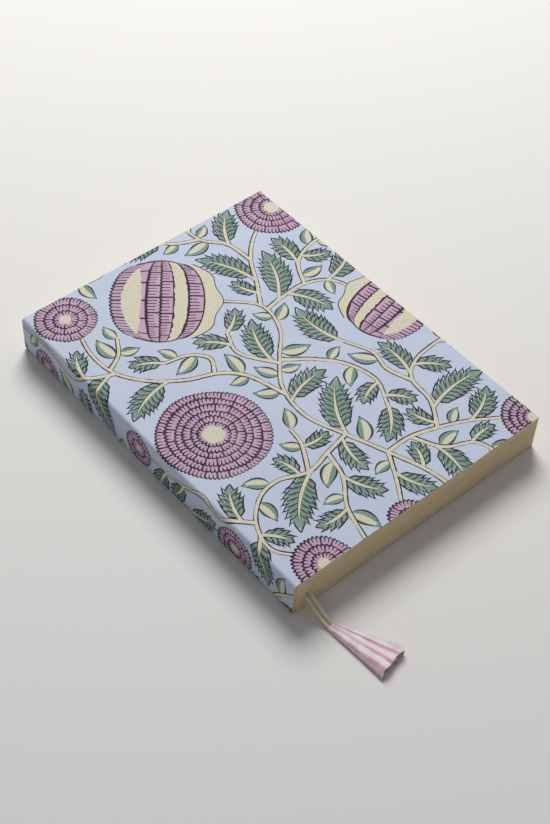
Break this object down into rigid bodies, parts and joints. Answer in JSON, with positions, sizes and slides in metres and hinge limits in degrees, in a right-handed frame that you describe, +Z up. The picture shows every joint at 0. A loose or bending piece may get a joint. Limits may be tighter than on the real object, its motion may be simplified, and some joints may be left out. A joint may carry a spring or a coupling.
{
  "type": "lined notebook",
  "caption": "Flush-cut softcover notebook in floral printed paper, with a sewn block of ruled leaves and a ribbon marker ending in a striped cloth tab.",
  "frame": {"origin": "middle of the back cover's underside, on the surface that the notebook lies on", "axes": "+X from the spine to the fore edge, +Y from the tail to the head, +Z up through the front cover"},
  "size_m": [0.152, 0.2522, 0.0209],
  "materials": {
    "printed_paper": "handmade paper, block printed with flowers and leaves, matt",
    "cover_card": "solid cover card, cut edge",
    "endpaper": "plain uncoated paper",
    "ruled_paper": "cream uncoated paper, faintly ruled",
    "spine_lining": "thin woven lining, glued",
    "sewing_thread": "linen thread",
    "ribbon_satin": "narrow woven ribbon with a slight sheen",
    "striped_cotton": "thin white cotton with rose stripes"
  },
  "bodies": {
    "back_half": {"back_spine_print": "printed_paper", "back_spine_card": "cover_card", "back_spine_lining": "spine_lining", "back_flyleaf": "endpaper", "back_section_1": "ruled_paper", "back_section_2": "ruled_paper", "back_section_3": "ruled_paper", "back_section_4": "ruled_paper", "back_section_5": "ruled_paper", "back_sewing_1": "sewing_thread", "back_sewing_2": "sewing_thread", "back_sewing_3": "sewing_thread", "back_sewing_4": "sewing_thread", "ribbon_inner": "ribbon_satin"},
    "front_half": {"front_spine_print": "printed_paper", "front_spine_card": "cover_card", "front_spine_lining": "spine_lining", "front_section_1": "ruled_paper", "front_section_2": "ruled_paper", "front_section_3": "ruled_paper", "front_section_4": "ruled_paper", "front_section_5": "ruled_paper", "front_sewing_1": "sewing_thread", "front_sewing_2": "sewing_thread", "front_sewing_3": "sewing_thread", "front_sewing_4": "sewing_thread"},
    "front_cover": {"front_cover_print": "printed_paper", "front_cover_card": "cover_card", "front_pastedown": "endpaper"},
    "front_flyleaf": {"front_flyleaf": "endpaper"},
    "back_cover": {"back_cover_print": "printed_paper", "back_cover_card": "cover_card", "back_pastedown": "endpaper"},
    "leaf_1": {"leaf_1": "ruled_paper"},
    "leaf_2": {"leaf_2": "ruled_paper"},
    "leaf_3": {"leaf_3": "ruled_paper"},
    "leaf_4": {"leaf_4": "ruled_paper"},
    "leaf_5": {"leaf_5": "ruled_paper"},
    "leaf_6": {"leaf_6": "ruled_paper"},
    "ribbon": {"ribbon_tail": "ribbon_satin"},
    "tab": {"cloth_tab": "striped_cotton"}
  },
  "joints": [
    {"name": "middle_opening", "type": "hinge", "parent": "back_half", "child": "front_half", "pos_m": [-0.07615, 0, 0.01057], "axis": [0, -1, 0], "range_deg": [0, 179.9]},
    {"name": "front_cover_hinge", "type": "hinge", "parent": "front_half", "child": "front_cover", "pos_m": [-0.07546, 0, 0.02026], "axis": [0, 1, 0], "range_deg": [-186, 0]},
    {"name": "front_flyleaf_turn", "type": "hinge", "parent": "front_half", "child": "front_flyleaf", "pos_m": [-0.0738, 0, 0.01951], "axis": [0, 1, 0], "range_deg": [-23, 0]},
    {"name": "back_cover_hinge", "type": "hinge", "parent": "back_half", "child": "back_cover", "pos_m": [-0.07546, 0, 0.00059], "axis": [0, -1, 0], "range_deg": [-180, 0]},
    {"name": "leaf_1_turn", "type": "hinge", "parent": "back_half", "child": "leaf_1", "pos_m": [-0.07615, 0, 0.01057], "axis": [0, -1, 0], "range_deg": [0, 6]},
    {"name": "leaf_2_turn", "type": "hinge", "parent": "back_half", "child": "leaf_2", "pos_m": [-0.07615, 0, 0.01057], "axis": [0, -1, 0], "range_deg": [0, 13]},
    {"name": "leaf_3_turn", "type": "hinge", "parent": "back_half", "child": "leaf_3", "pos_m": [-0.07615, 0, 0.01057], "axis": [0, -1, 0], "range_deg": [0, 22]},
    {"name": "leaf_4_turn", "type": "hinge", "parent": "front_half", "child": "leaf_4", "pos_m": [-0.07615, 0, 0.01057], "axis": [0, -1, 0], "range_deg": [-22, 0]},
    {"name": "leaf_5_turn", "type": "hinge", "parent": "front_half", "child": "leaf_5", "pos_m": [-0.07615, 0, 0.01057], "axis": [0, -1, 0], "range_deg": [-13, 0]},
    {"name": "leaf_6_turn", "type": "hinge", "parent": "front_half", "child": "leaf_6", "pos_m": [-0.07615, 0, 0.01057], "axis": [0, -1, 0], "range_deg": [-6, 0]},
    {"name": "ribbon_lift", "type": "hinge", "parent": "back_half", "child": "ribbon", "pos_m": [-0.0685, -0.102, 0.0101], "axis": [-1, 0, 0], "range_deg": [0, 80]},
    {"name": "tab_fold", "type": "hinge", "parent": "ribbon", "child": "tab", "pos_m": [-0.06715, -0.11585, 0.00195], "axis": [-0.9763, -0.2164, 0], "range_deg": [0, 90]}
  ],
  "couplings": [
    {"joint": "front_flyleaf_turn", "follows": "front_cover_hinge", "ratio": 0.12},
    {"joint": "leaf_1_turn", "follows": "middle_opening", "ratio": 0.03},
    {"joint": "leaf_2_turn", "follows": "middle_opening", "ratio": 0.07},
    {"joint": "leaf_3_turn", "follows": "middle_opening", "ratio": 0.12},
    {"joint": "leaf_4_turn", "follows": "middle_opening", "ratio": -0.12},
    {"joint": "leaf_5_turn", "follows": "middle_opening", "ratio": -0.07},
    {"joint": "leaf_6_turn", "follows": "middle_opening", "ratio": -0.03}
  ]
}
